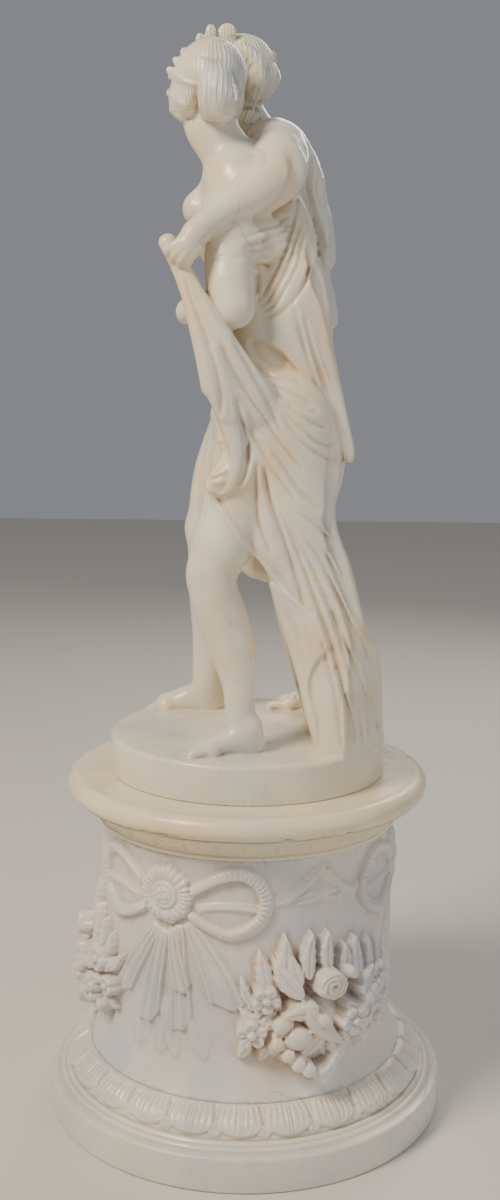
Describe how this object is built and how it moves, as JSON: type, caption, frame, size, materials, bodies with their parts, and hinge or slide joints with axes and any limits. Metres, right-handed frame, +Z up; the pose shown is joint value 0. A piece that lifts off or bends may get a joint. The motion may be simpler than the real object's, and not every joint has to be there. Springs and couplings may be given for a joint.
{
  "type": "alabaster sculpture group on a round pedestal",
  "caption": "Carved alabaster group of draped standing figures on a round slab, resting on a low round pedestal with cap, garlanded drum and leaf-moulded base.",
  "frame": {"origin": "centre of the round pedestal base's flat underside", "axes": "+Z up through the pedestal; the side seen in the picture faces -Y; +X is to the right as seen there, and the figures walk towards -X"},
  "size_m": [0.43, 0.43, 1.1338],
  "materials": {
    "figures": "satin",
    "cap": "satin",
    "drum": "satin",
    "base": "satin"
  },
  "bodies": {
    "root": {"figure_group": "figures", "pedestal_cap": "cap", "pedestal_drum": "drum", "pedestal_base": "base"}
  },
  "joints": []
}
